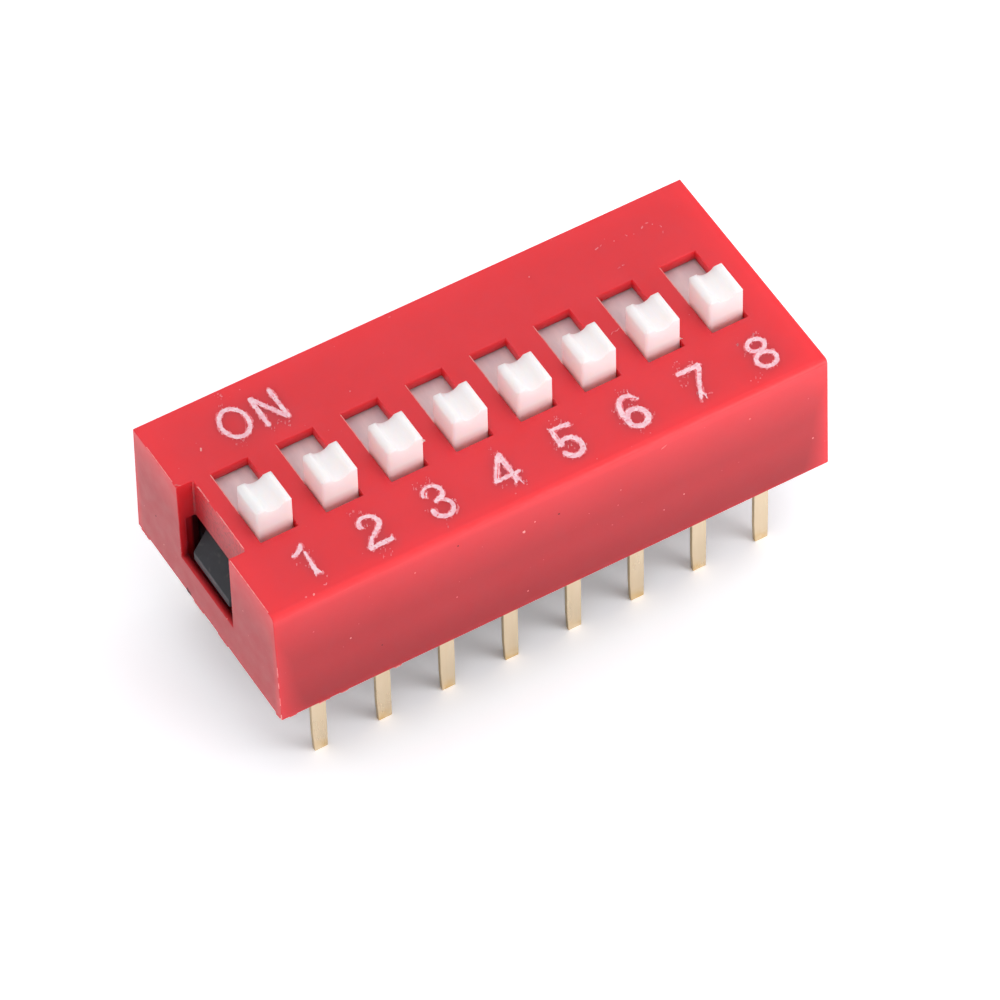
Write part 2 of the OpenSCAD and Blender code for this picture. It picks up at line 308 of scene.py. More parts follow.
def make_floor():
    """Pale floor under the pins, exposed to white where it is seen, with the shadow kept."""
    reach, z = FLOOR_REACH * MM, floor_z * MM
    mesh = bpy.data.meshes.new("floor")
    mesh.from_pydata(
        [(-reach, -reach, z), (reach, -reach, z), (reach, reach, z), (-reach, reach, z)], [], [(0, 1, 2, 3)]
    )
    floor = bpy.data.objects.new("floor", mesh)
    bpy.context.scene.collection.objects.link(floor)
    material = bpy.data.materials.new("floor_paper")
    material.use_nodes = True
    tree = material.node_tree
    tree.nodes.remove(tree.nodes["Principled BSDF"])
    mix = tree.nodes.new("ShaderNodeMixShader")
    tree.links.new(seen_directly(tree), mix.inputs["Fac"])
    for socket, colour in ((1, FLOOR_LIGHTING), (2, FLOOR_SEEN)):
        paper = tree.nodes.new("ShaderNodeBsdfDiffuse")
        paper.inputs["Color"].default_value = colour
        tree.links.new(paper.outputs["BSDF"], mix.inputs[socket])
    tree.links.new(mix.outputs["Shader"], tree.nodes["Material Output"].inputs["Surface"])
    mesh.materials.append(material)


# Materials


class Finish:
    """A Principled material whose textures are measured in millimetres of the part's own frame."""

    def __init__(self, name, sockets):
        self.material = bpy.data.materials.new(name)
        self.material.use_nodes = True
        self.tree = self.material.node_tree
        self.shader = self.tree.nodes["Principled BSDF"]
        for socket, value in sockets.items():
            self.shader.inputs[socket].default_value = value
        self.place = self.tree.nodes.new("ShaderNodeTexCoord").outputs["Object"]

    def join(self, source, target):
        self.tree.links.new(source, target)

    def noise(self, per_mm, detail=2.0, stretch=(1, 1, 1)):
        """Noise with this many features to a millimetre, about 0.5 on average."""
        mapping = self.tree.nodes.new("ShaderNodeMapping")
        mapping.inputs["Scale"].default_value = [per_mm / MM * s for s in stretch]
        self.join(self.place, mapping.inputs["Vector"])
        noise = self.tree.nodes.new("ShaderNodeTexNoise")
        noise.inputs["Scale"].default_value = 1.0
        noise.inputs["Detail"].default_value = detail
        self.join(mapping.outputs["Vector"], noise.inputs["Vector"])
        return noise.outputs["Fac"]

    def spread(self, value, low, high, to_low=0.0, to_high=1.0):
        """Maps a range of values to another, held at both ends."""
        node = self.tree.nodes.new("ShaderNodeMapRange")
        limits = {"From Min": low, "From Max": high, "To Min": to_low, "To Max": to_high}
        for socket, number in limits.items():
            node.inputs[socket].default_value = number
        self.join(value, node.inputs["Value"])
        return node.outputs["Result"]

    def patches(self, per_mm, detail=2.0, levels=EVEN, values=(0.0, 1.0), stretch=(1, 1, 1)):
        """Noise that runs from one value to another between two of its levels."""
        return self.spread(self.noise(per_mm, detail, stretch), *levels, *values)

    def mix(self, share, first, second):
        """Blends two colours, each a tuple or a socket."""
        node = self.tree.nodes.new("ShaderNodeMix")
        node.data_type = "RGBA"
        self.join(share, node.inputs["Factor"])
        # The node's colours go in at sockets 6 and 7 and come out at socket 2
        for socket, colour in ((node.inputs[6], first), (node.inputs[7], second)):
            if isinstance(colour, tuple):
                socket.default_value = (*colour, 1.0)
            else:
                self.join(colour, socket)
        return node.outputs[2]

    def along(self, axis):
        """Distance from the part's origin along an axis, in metres."""
        parts = self.tree.nodes.new("ShaderNodeSeparateXYZ")
        self.join(self.place, parts.inputs["Vector"])
        return parts.outputs[axis]

    def facing(self, axis):
        """How far the surface faces along an axis, from -1 to 1."""
        parts = self.tree.nodes.new("ShaderNodeSeparateXYZ")
        self.join(self.tree.nodes.new("ShaderNodeTexCoord").outputs["Normal"], parts.inputs["Vector"])
        return parts.outputs[axis]

    def math(self, operation, first, second):
        """One sum of two values, each a number or a socket."""
        node = self.tree.nodes.new("ShaderNodeMath")
        node.operation = operation
        for socket, value in zip(node.inputs, (first, second)):
            if isinstance(value, float):
                socket.default_value = value
            else:
                self.join(value, socket)
        return node.outputs["Value"]

    def off_middle(self, axis):
        """Distance from the part's middle on either side, in metres."""
        return self.math("ABSOLUTE", self.along(axis), 0.0)

    def zone(self, half_width=None, **limits):
        """1 past the inner limits and 0 before the outer ones, along x, y and z, and across the middle."""
        places = [(self.along(axis.upper()), ends) for axis, ends in limits.items()]
        if half_width is not None:
            places.append((self.off_middle("Y"), half_width))
        share = None
        for place, (outer, inner) in places:
            within = self.spread(place, outer * MM, inner * MM)
            share = within if share is None else self.math("MULTIPLY", share, within)
        return share

    def tint(self, share, amount, body, colour):
        """Blends a colour over the body by a share of an amount."""
        return self.mix(self.math("MULTIPLY", share, amount), body, colour)

    def colour(self, source):
        self.join(source, self.shader.inputs["Base Color"])

    def roughness(self, source):
        self.join(source, self.shader.inputs["Roughness"])

    def bump(self, height, depth):
        """Adds relief of this depth in millimetres."""
        node = self.tree.nodes.new("ShaderNodeBump")
        node.inputs["Strength"].default_value = 1.0
        node.inputs["Distance"].default_value = depth * MM
        self.join(height, node.inputs["Height"])
        self.join(node.outputs["Normal"], self.shader.inputs["Normal"])


def past(base, distances):
    """Limits at these distances from a place."""
    return tuple(base + distance for distance in distances)


def painted_wall_light(finish):
    """Painted light on the cover: the share of the open red over the painted shade, from 0 low on the walls
    to 1 on top.
    """
    height = finish.spread(finish.along("Z"), SHADE_LOW * MM, top_z * MM)
    ends = finish.spread(finish.off_middle("X"), SHADE_END * MM, cad_box[1].x)
    walls = finish.spread(finish.off_middle("Y"), SHADE_WALL[0] * MM, SHADE_WALL[1] * MM, *END_LIT)
    low = finish.spread(finish.along("Z"), LOW_BAND[0] * MM, LOW_BAND[1] * MM, 0.0, LOW_LIT)
    upper = finish.math("POWER", height, SHADE_CURVE)
    lit = finish.math("MAXIMUM", upper, finish.math("MULTIPLY", ends, walls))
    return finish.math("MAXIMUM", lit, low)


def paint_notch_shade_and_grain(finish, body):
    """Paints shade over the hollow behind the latch window, and gives the notch's back wall its grain."""
    end_x = cover_low.x
    sill = finish.zone(SILL_HALF_WIDTH, x=past(end_x, SILL_IN), z=SILL_HEIGHT)
    window = finish.zone(WINDOW_HALF_WIDTH, x=past(end_x, WINDOW_IN), z=WINDOW_HEIGHT)
    hollow = finish.zone(x=past(end_x, HOLLOW_IN), z=HOLLOW_HEIGHT)
    shade = finish.math("MULTIPLY", finish.math("MAXIMUM", sill, window), hollow)
    # Painted shade: the sill and the window behind the notch turn near black
    body = finish.mix(shade, body, RED_PAINTED_NOTCH_SHADE)
    back = finish.zone(BACK_HALF_WIDTH, x=past(end_x, BACK_IN), z=BACK_HEIGHT)
    inside = finish.zone(x=past(end_x, BACK_END), z=past(top_z, BACK_RISE))
    grain = finish.patches(8.0, 3.0, (0.45, 0.70), (0.0, GRAIN_SHARE))
    return finish.tint(finish.math("MULTIPLY", back, inside), grain, body, RED_GRAIN)


def red_plastic():
    finish = Finish("red_plastic", {
        "IOR": 1.5,
        "Specular IOR Level": 0.33,
        "Subsurface Weight": 1.0,
        "Subsurface Radius": (1.0, 0.1, 0.1),
        "Subsurface Scale": 1.0 * MM,
    })
    open_red = finish.mix(finish.patches(0.35, 3.0), *RED_OPEN)
    # Painted shade: the red is painted darker down the walls, lighter by their upright edges
    body = finish.mix(painted_wall_light(finish), RED_PAINTED_SHADE, open_red)
    # Painted highlight: a paler red band along the rounded front edge
    painted_highlight = finish.zone(y=past(cover_low.y, HIGHLIGHT_IN), z=past(top_z, HIGHLIGHT_RISE))
    body = finish.tint(painted_highlight, HIGHLIGHT_SHARE, body, RED_PAINTED_HIGHLIGHT)
    body = paint_notch_shade_and_grain(finish, body)
    dust = finish.patches(7.0, 1.0, (0.79, 0.84))
    finish.colour(finish.mix(dust, body, RED_DUST))
    finish.roughness(finish.patches(1.5, 3.0, values=(0.34, 0.42)))
    finish.bump(finish.noise(14.0), 0.0008)
    return finish.material


def red_flash():
    """Thin pale slivers of the cover's plastic."""
    finish = Finish("red_flash", {"IOR": 1.5})
    finish.colour(finish.mix(finish.patches(6.0, levels=CLEAR), *RED_FLASH))
    finish.roughness(finish.patches(9.0, values=(0.4, 0.6)))
    return finish.material


def dark_dirt():
    """Specks of dirt pressed into the cover."""
    finish = Finish("dark_dirt", {"IOR": 1.5, "Specular IOR Level": 0.2})
    finish.colour(finish.mix(finish.patches(12.0, levels=CLEAR), *DIRT))
    finish.roughness(finish.patches(9.0, values=(0.5, 0.7)))
    return finish.material


def black_plastic():
    finish = Finish("black_plastic", {"IOR": 1.5, "Specular IOR Level": 0.4})
    body = finish.mix(finish.patches(0.8, 3.0), *BLACK)
    dust = finish.patches(3.0, 3.0, (0.58, 0.76))
    finish.colour(finish.mix(dust, body, BLACK_DUST))
    finish.roughness(finish.patches(2.0, 3.0, values=(0.42, 0.56)))
    finish.bump(finish.noise(10.0), 0.002)
    return finish.material


def white_plastic():
    finish = Finish("white_plastic", {
        "IOR": 1.5,
        "Subsurface Weight": 1.0,
        "Subsurface Radius": (1.0, 0.85, 0.75),
        "Subsurface Scale": 1.0 * MM,
    })
    shade_and_bounce = finish.mix(finish.patches(2.0, 3.0, CLEAR, stretch=(1, 0.3, 1)), *WHITE_PAINTED_SHADE_AND_BOUNCE)
    # Painted shade and red bounce light: the white is painted greyish pink low down by the cover
    body = finish.mix(finish.zone(z=past(top_z, (PLATE_RISE, PAINTED_SHADE_RISE))), shade_and_bounce, WHITE)
    upper, lower = (finish.zone(z=past(top_z, limits)) for limits in (FOOT_UPPER, FOOT_LOWER))
    # Painted red bounce light at the knobs' feet
    body = finish.tint(finish.math("MULTIPLY", upper, lower), FOOT_BOUNCE_SHARE, body, WHITE_PAINTED_BOUNCE)
    speck = finish.patches(7.0, 0.0, (0.90, 0.92))
    finish.colour(finish.mix(speck, body, WHITE_SPECK))
    finish.roughness(finish.patches(2.5, values=(0.28, 0.4)))
    finish.bump(finish.noise(9.0), 0.0015)
    return finish.material


def gold_plate(name, pale, deep):
    finish = Finish(name, {"Metallic": 1.0})
    body = finish.mix(finish.patches(5.0, 3.0, stretch=(1, 1, 0.1)), pale, deep)
    sideways = finish.math("ABSOLUTE", finish.facing("X"), 0.0)
    # Painted shade: faces that face along X are painted a deeper gold
    body = finish.mix(finish.spread(sideways, *SIDE_FACING, 0.0, SIDE_SHADE_SHARE), body, GOLD_PAINTED_SHADE)
    tip = finish.spread(finish.along("Z"), (floor_z + PIN_TIP) * MM, floor_z * MM, 0.0, TIP_SHARE)
    dull = finish.patches(3.0, 3.0, (0.36, 0.60))
    finish.colour(finish.tint(tip, dull, body, GOLD_TIP))
    finish.roughness(finish.patches(3.0, values=(0.26, 0.36), stretch=(1, 1, 0.2)))
    return finish.material


def worn_ink():
    finish = Finish("worn_ink", {"IOR": 1.45})
    body = finish.mix(finish.patches(6.0, 3.0, (0.36, 0.62)), *INK)
    pit = finish.patches(11.0, 1.0, (0.60, 0.72))
    finish.colour(finish.mix(pit, body, INK_PIT))
    finish.roughness(finish.patches(8.0, values=(0.45, 0.65)))
    finish.bump(finish.noise(20.0), 0.002)
    return finish.material


def thin_ink():
    """Ink so thin that the red shows through."""
    finish = Finish("thin_ink", {"IOR": 1.45})
    finish.colour(finish.mix(finish.patches(8.0, levels=(0.38, 0.62)), *INK_THIN))
    finish.roughness(finish.patches(8.0, values=(0.4, 0.6)))
    return finish.material


def dress_node(name, material, edge):
    """Gives a CAD node its finish, and rounds its sharp edges a little where they have no radius yet."""
    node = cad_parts[name]
    node.data.materials.clear()
    node.data.materials.append(material)
    if edge is None:
        return
    weld = node.modifiers.new("weld", "WELD")
    weld.merge_threshold = EDGE_WELD * MM
    flat = node.modifiers.new("flat_faces", "DECIMATE")
    flat.decimate_type = "DISSOLVE"
    flat.angle_limit = math.radians(FLAT_ANGLE)
    bevel = node.modifiers.new("edges", "BEVEL")
    bevel.width = edge * MM
    bevel.segments = EDGE_SEGMENTS
    bevel.limit_method = "ANGLE"
    bevel.angle_limit = math.radians(EDGE_ANGLE)
    bevel.use_clamp_overlap = False
    smooth = node.modifiers.new("normals", "WEIGHTED_NORMAL")
    smooth.keep_sharp = False


def dress_nodes(white):
    red, black = red_plastic(), black_plastic()
    gold = gold_plate("gold_plate", *GOLD)
    brass = gold_plate("contact_plate", *BRASS)
    dress_node("cover", red, COVER_EDGE)
    dress_node("base", black, BASE_EDGE)
    for position in POSITIONS:
        dress_node(f"slider_{position}", white, None)
        dress_node(f"contact_{position}", brass, METAL_EDGE)
        dress_node(f"front_terminal_{position}", gold, METAL_EDGE)
        dress_node(f"rear_terminal_{position}", gold, METAL_EDGE)


# Print


def line(*points):
    """A stroke through points (x, y) or (x, y, half width)."""
    return np.array([point if len(point) == 3 else (*point, PRINT_HALF_WIDTH) for point in points], float)


def arc(x, y, radius_x, radius_y, start, end, half_start=PRINT_HALF_WIDTH, half_end=PRINT_HALF_WIDTH):
    """A stroke along part of an ellipse, with its angles in degrees."""
    angles = np.radians(np.linspace(start, end, ARC_STEPS))
    halves = np.linspace(half_start, half_end, ARC_STEPS)
    return np.stack([x + radius_x * np.cos(angles), y + radius_y * np.sin(angles), halves], axis=1)


class Legend(NamedTuple):
    """Print about its own middle: strokes, cracks in them, and (x, y, spread, count) of specks."""

    strokes: list
    cracks: list
    specks: list


DIGITS = {
    1: Legend(
        [
            line(
                (-0.30, 0.45, 0.055), (-0.20, 0.46, 0.085), (0.03, 0.57, 0.085),
                (0.12, 0.70), (0.15, 0.78, 0.06),
            ),
            line((0.14, 0.41, 0.05), (0.11, 0.10, 0.075), (0.08, -0.25, 0.08), (0.08, -0.54, 0.10)),
            line((0.0, -0.54, 0.05), (-0.03, -0.70, 0.015)),
            line((0.16, -0.54, 0.05), (0.21, -0.67, 0.02)),
        ],
        [line((0.10, -0.76, 0.03), (0.11, -0.62, 0.008)), line((0.02, 0.44, 0.012), (0.24, 0.46, 0.008))],
        [(0.24, -0.84, 0.06, 3), (-0.28, 0.12, 0.10, 3), (0.30, 0.38, 0.10, 4), (-0.10, -0.20, 0.10, 3)],
    ),
    2: Legend(
        [
            arc(0.03, 0.34, 0.36, 0.36, 178, -25, 0.065, 0.10),
            line((0.35, 0.19, 0.095), (0.14, -0.02, 0.085), (-0.20, -0.26, 0.085), (-0.40, -0.56, 0.095)),
            line((-0.42, -0.62, 0.085), (0.0, -0.60, 0.10), (0.39, -0.60, 0.095)),
            line((-0.20, 0.54, 0.03), (-0.25, 0.42, 0.035), (-0.22, 0.31, 0.045)),
            line((0.42, -0.55, 0.035), (0.45, -0.47, 0.01)),
            line((0.42, -0.65, 0.03), (0.48, -0.69, 0.01)),
            line((-0.45, -0.66, 0.04), (-0.54, -0.72, 0.01)),
        ],
        [line((-0.34, -0.68, 0.008), (-0.29, -0.60, 0.012))],
        [(-0.24, 1.02, 0.14, 7), (0.10, 0.92, 0.10, 4), (-0.08, -0.98, 0.22, 9), (-0.05, 0.34, 0.14, 5)],
    ),
    3: Legend(
        [
            arc(-0.01, 0.38, 0.34, 0.34, 176, -72, 0.055, 0.10),
            line((0.10, 0.10, 0.09), (-0.07, 0.03, 0.07)),
            arc(0.0, -0.34, 0.36, 0.37, 72, -186, 0.07, 0.11),
            line((-0.16, 0.52, 0.018), (-0.26, 0.34, 0.03)),
            arc(0.03, -0.36, 0.47, 0.46, 25, -60, 0.012, 0.02),
        ],
        [line((-0.30, -0.50, 0.02), (-0.34, -0.55, 0.015)), line((0.10, 0.01, 0.012), (0.22, -0.08, 0.015))],
        [(-0.28, 0.96, 0.15, 7), (0.12, 0.98, 0.16, 5), (-0.08, -0.97, 0.20, 6), (-0.54, -0.18, 0.06, 3)],
    ),
    4: Legend(
        [
            line((0.15, 0.62, 0.10), (-0.40, -0.24, 0.095)),
            line((-0.46, -0.31, 0.08), (0.44, -0.29, 0.08)),
            line((0.22, 0.66, 0.11), (0.22, -0.30, 0.085), (0.22, -0.54, 0.10)),
            line((0.15, -0.54, 0.05), (0.09, -0.80, 0.018)),
            line((0.28, -0.54, 0.05), (0.31, -0.83, 0.018)),
            line((-0.46, -0.36, 0.03), (-0.50, -0.44, 0.01)),
        ],
        [
            line((0.22, -0.88, 0.03), (0.22, -0.60, 0.010)),
            line((0.02, 0.36, 0.018), (-0.33, -0.19, 0.018)),
            line((0.20, 0.54, 0.012), (0.22, 0.22, 0.008)),
        ],
        [(0.18, 0.92, 0.16, 7), (-0.30, -0.58, 0.10, 3), (0.45, -0.85, 0.12, 3), (0.52, -0.30, 0.06, 2)],
    ),
    5: Legend(
        [
            line((-0.24, 0.67), (0.40, 0.65, 0.075)),
            line((0.26, 0.55, 0.025), (0.45, 0.53, 0.03)),
            line((-0.25, 0.66), (-0.27, 0.30, 0.10), (-0.28, 0.0, 0.105), (-0.37, -0.08, 0.04)),
            arc(0.0, -0.30, 0.36, 0.42, 142, -160, 0.10, 0.11),
            line((-0.28, 0.68, 0.04), (-0.33, 0.80, 0.01)),
        ],
        [line((-0.24, 0.28, 0.02), (-0.23, 0.42, 0.02)), line((0.28, 0.59, 0.012), (0.38, 0.57, 0.015))],
        [(0.10, 0.93, 0.24, 11), (-0.47, 0.12, 0.12, 7), (-0.50, -0.14, 0.07, 4), (0.02, -0.30, 0.14, 4)],
    ),
    6: Legend(
        [
            arc(0.07, -0.05, 0.43, 0.72, 58, 205, 0.085, 0.11),
            arc(0.02, -0.35, 0.37, 0.39, 0, 360, 0.11, 0.11),
            line((0.28, 0.56, 0.075), (0.38, 0.47, 0.05), (0.47, 0.36, 0.02)),
            line((0.22, 0.46, 0.02), (0.34, 0.34, 0.02), (0.47, 0.34, 0.02)),
            line((0.28, 0.62, 0.04), (0.33, 0.86, 0.01)),
        ],
        [
            line((-0.24, 0.02, 0.012), (-0.20, 0.20, 0.016)),
            line((-0.32, -0.55, 0.012), (-0.30, -0.62, 0.015)),
        ],
        [
            (-0.46, 0.38, 0.12, 7), (0.12, 0.93, 0.20, 8), (-0.55, -0.35, 0.12, 5), (0.54, -0.50, 0.08, 4),
            (-0.08, -0.98, 0.20, 5), (0.05, 0.20, 0.10, 4),
        ],
    ),
    7: Legend(
        [
            line((-0.36, 0.55, 0.10), (0.43, 0.57, 0.10)),
            line((0.41, 0.46), (0.21, 0.10, 0.075), (-0.04, -0.35, 0.07), (-0.20, -0.68, 0.075)),
            line((-0.20, -0.70, 0.06), (-0.29, -0.87, 0.012)),
            line((-0.08, -0.48, 0.03), (-0.03, -0.70, 0.035), (-0.06, -0.86, 0.012)),
            line((-0.04, -0.68, 0.02), (0.18, -0.72, 0.008)),
        ],
        [line((-0.14, -0.84, 0.02), (-0.12, -0.62, 0.008))],
        [(-0.25, 0.88, 0.20, 7), (-0.32, 0.20, 0.22, 12), (0.32, 0.80, 0.05, 3), (-0.20, -0.45, 0.12, 6)],
    ),
    8: Legend(
        [arc(0.06, 0.29, 0.31, 0.28, 0, 360), arc(0.06, -0.42, 0.37, 0.33, 0, 360)],
        [line((-0.32, 0.14, 0.008), (-0.20, 0.18, 0.016)), line((0.36, -0.42, 0.012), (0.46, -0.36, 0.008))],
        [(-0.46, 0.63, 0.03, 6), (-0.42, 0.18, 0.10, 4), (-0.55, -0.95, 0.16, 5), (0.30, 0.80, 0.12, 5)],
    ),
}
ON_CENTRE = (-7.21, 3.26)
ON = Legend(
    [
        arc(-0.60, 0.01, 0.49, 0.66, 0, 360),
        line((0.36, -0.66), (0.36, 0.65)),
        line((0.38, 0.64), (1.09, -0.64)),
        line((1.12, -0.66), (1.12, 0.65)),
    ],
    [line((1.11, 0.30, 0.014), (1.13, 0.42, 0.014)), line((0.52, 0.36, 0.012), (0.55, 0.24, 0.014))],
    [
        (-0.45, 1.30, 0.14, 7), (-0.62, 0.86, 0.12, 5), (-0.85, -0.88, 0.20, 11), (0.75, -0.70, 0.10, 5),
        (0.92, -0.98, 0.14, 5), (0.45, -0.90, 0.14, 4),
    ],
)

# Worn flecks and scratches elsewhere on the top face
TOP_SCRATCHES = [
    line((-8.72, -4.42, 0.02), (-8.64, -4.47, 0.02), (-8.58, -4.40, 0.02)),
    line((5.15, -0.03, 0.012), (5.28, 0.07, 0.014), (5.42, 0.02, 0.014), (5.56, 0.10, 0.012)),
    line((6.68, 3.57, 0.024), (6.84, 3.62, 0.024)),
    line((6.91, 3.62, 0.014), (6.99, 3.66, 0.014)),
    line((7.92, 3.64, 0.014), (7.96, 3.54, 0.014)),
    line((8.55, 3.57, 0.026), (8.66, 3.66, 0.022)),
    line((8.78, 3.71, 0.020), (8.90, 3.70, 0.020)),
    line((9.18, 3.38, 0.016), (9.19, 3.27, 0.016)),
    line((9.14, 3.10, 0.016), (9.08, 3.00, 0.016)),
    line((6.90, 2.43, 0.020), (7.02, 2.45, 0.020)),
    line((7.10, 2.48, 0.020), (7.20, 2.46, 0.018)),
]
TOP_SPOTS = [
    (4.10, 3.70, 0.030), (-3.75, 2.45, 0.030), (8.16, -4.28, 0.028), (8.34, -4.45, 0.022),
    (-9.48, -4.58, 0.040), (7.45, 3.58, 0.022), (8.20, 3.50, 0.018), (8.98, 3.55, 0.022),
]
TOP_CHIPS = [
    line((-9.39, 2.77, 0.03), (-9.32, 2.91, 0.03)),
    line((-9.23, -4.66, 0.03), (-9.16, -4.58, 0.03)),
]

# Small chips, as (x, z, size), and dirt on the front face
FRONT_CHIPS = [
    (-1.23, 4.10, 0.060), (-0.79, 4.35, 0.034), (-1.19, 0.99, 0.034), (-5.47, 4.62, 0.034),
    (-8.06, 2.86, 0.036), (2.59, 3.92, 0.026), (7.75, 4.45, 0.030), (5.07, 2.19, 0.028),
    (4.26, 1.86, 0.026), (10.28, 1.94, 0.034),
]
FRONT_SCRATCHES = [line((4.22, 5.02, 0.014), (4.44, 5.13, 0.014))]
FRONT_DIRT = [(-3.78, 4.96, 0.036), (0.15, 4.18, 0.040), (-6.90, 1.75, 0.030)]

# The same on the notched end face, as (y, z, size)
END_CHIPS = [(-2.65, 3.72, 0.030), (3.10, 1.20, 0.024)]
END_DIRT = [(1.50, 0.42, 0.10), (1.34, 0.40, 0.08), (3.55, 2.28, 0.030)]

# Slivers of the cover, as both ends along an edge and the height, with the lean where it differs
NOTCH_BACK_FLASH = [(0.70, 1.45, (-0.6, 0, 0.8), 0.15), (-1.70, 0.20, (-0.7, 0, 0.7), 0.06)]
NOTCH_CORNER_FLASH = ((0.02, 1.95), (0.20, 1.81), 0.06)
END_TOP_FLASH = [(2.1, 3.9, 0.015), (-4.5, -1.9, 0.015)]
SLOT_FLASH = (-0.30, 1.70, 0.02)
FRONT_CORNER_FLASH = [(0.32, 0.62, 0.03), (1.1, 1.5, 0.03), (2.0, 2.3, 0.03), (2.6, 3.1, 0.03)]
FRONT_RIM_FLASH = [(-9.45, -9.0, 0.07), (-8.6, -8.3, 0.04), (-6.5, -6.2, 0.08), (-10.6, -10.3, 0.04)]
END_RIM_FLASH = [(-1.3, -0.6, 0.03), (0.4, 1.1, 0.04), (4.2, 4.8, 0.05), (-4.9, -4.6, 0.05)]

# Spurs at the front right edges of knobs, as the position, both heights and the reach
KNOB_FLASH = [(3, 6.53, 6.70, 0.14), (7, 5.66, 5.80, 0.12)]


def depth_in(points, strokes):
    """How deep each point lies inside the nearest stroke, negative outside it."""
    deepest = np.full(points.shape[:-1], -np.inf)
    for stroke in strokes:
        for start, end in zip(stroke[:-1], stroke[1:]):
            span = end[:2] - start[:2]
            along = np.clip(((points - start[:2]) @ span) / max(span @ span, SHORTEST_SPAN ** 2), 0, 1)
            offset = points - start[:2] - along[..., None] * span
            half = start[2] + along * (end[2] - start[2])
            deepest = np.maximum(deepest, half - np.linalg.norm(offset, axis=-1))
    return deepest


def lattice_noise(points, cell, draw):
    """Smooth noise from -1 to 1 with features of about one cell."""
    low = points.reshape(-1, 2).min(0)
    place = (points - low) / cell
    count = place.reshape(-1, 2).max(0).astype(int) + 2
    knots = draw.uniform(-1, 1, count)
    base = place.astype(int)
    share = place - base
    share = share * share * (3 - 2 * share)
    x, y = base[..., 0], base[..., 1]
    left = knots[x, y] * (1 - share[..., 1]) + knots[x, y + 1] * share[..., 1]
    right = knots[x + 1, y] * (1 - share[..., 1]) + knots[x + 1, y + 1] * share[..., 1]
    return left * (1 - share[..., 0]) + right * share[..., 0]


def slant_axes():
    """Turns places so that the first axis runs along the slant of the print, and shortens that axis."""
    x, y = math.cos(math.radians(SLANT)), math.sin(math.radians(SLANT))
    return np.array([[SLANT_STRETCH * x, -y], [SLANT_STRETCH * y, x]])


def ink_field(points, legend, draw):
    """Positive where there is ink: strokes with ragged edges, split by cracks."""
    ragged = PRINT_ROUGH * sum(lattice_noise(points, cell, draw) for cell in ROUGH_CELLS)
    field = depth_in(points, legend.strokes) - PRINT_SHRINK + ragged
    return np.minimum(field, CRACK_ROUGH * ragged - depth_in(points, legend.cracks))


def fringe_field(points, legend, draw):
    """Positive where thin ink was dragged out beside the strokes."""
    streaks = lattice_noise(points @ slant_axes(), FRINGE_CELL, draw)
    return depth_in(points, legend.strokes) + FRINGE_REACH + FRINGE_ROUGH * streaks


def cell_outline(corners, values):
    """The part of one grid cell where the field is positive."""
    outline = []
    for k in range(4):
        here, there = values[k], values[(k + 1) % 4]
        if here > 0:
            outline.append(tuple(corners[k]))
        if (here > 0) != (there > 0):
            share = here / (here - there)
            outline.append(tuple(corners[k] + share * (corners[(k + 1) % 4] - corners[k])))
    return outline


def film(grid, field, rise):
    """Vertices and faces of a thin closed film over the part of the top face where the field is positive."""
    places, faces = {}, []

    def vertex(point):
        key = (round(point[0], PLACE_DIGITS), round(point[1], PLACE_DIGITS))
        return places.setdefault(key, len(places))

    inked = (field[:-1, :-1] > 0) | (field[1:, :-1] > 0) | (field[1:, 1:] > 0) | (field[:-1, 1:] > 0)
    for i, j in zip(*np.nonzero(inked)):
        ring = [(i, j), (i + 1, j), (i + 1, j + 1), (i, j + 1)]
        outline = cell_outline([grid[k] for k in ring], [field[k] for k in ring])
        face = list(dict.fromkeys(vertex(point) for point in outline))
        if len(face) > 2:
            faces.append(face)
    count = len(places)
    vertices = [on_top(x, y, level) for level in (rise, -PRINT_SINK) for x, y in places]
    sides = {}
    for face in faces:
        for a, b in zip(face, face[1:] + face[:1]):
            sides[(a, b)] = True
    walls = [[b, a, a + count, b + count] for a, b in sides if (b, a) not in sides]
    floor = [[k + count for k in reversed(face)] for face in faces]
    return vertices, faces + floor + walls


def solid_mesh(name, parts):
    """One mesh of several closed parts, each given as vertices in millimetres and faces."""
    vertices, faces = [], []
    for places, part_faces in parts:
        faces += [[len(vertices) + k for k in face] for face in part_faces]
        vertices += [tuple(c * MM for c in place) for place in places]
    mesh = bpy.data.meshes.new(name)
    mesh.from_pydata(vertices, [], faces)
    shape = bmesh.new()
    shape.from_mesh(mesh)
    bmesh.ops.recalc_face_normals(shape, faces=shape.faces)
    shape.to_mesh(mesh)
    shape.free()
    return mesh


def add_piece(name, parts, material, body):
    mesh = solid_mesh(name, parts)
    mesh.materials.append(material)
    piece = bpy.data.objects.new(name, mesh)
    bpy.context.scene.collection.objects.link(piece)
    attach(piece, body)


def on_top(x, y, rise):
    return x, y, top_z + rise


def on_front(x, z, rise):
    return x, front_y(z) - rise, z


def on_end(y, z, rise):
    return cover_low.x - rise, y, z


def plate(outline, surface):
    """Vertices and faces of a thin plate of this outline on a surface."""
    count = len(outline)
    vertices = [surface(u, v, rise) for rise in (THIN_RISE, -PRINT_SINK) for u, v in outline]
    walls = [[(k + 1) % count, k, count + k, count + (k + 1) % count] for k in range(count)]
    return vertices, [list(range(count)), list(range(2 * count - 1, count - 1, -1)), *walls]


def spot(x, y, size, draw):
    """Outline of an uneven round spot."""
    angles = np.arange(SPOT_CORNERS) / SPOT_CORNERS * math.tau
    radius = size * draw.uniform(*SPOT_UNEVEN, SPOT_CORNERS)
    return [(x + r * math.cos(a), y + r * math.sin(a)) for r, a in zip(radius, angles)]


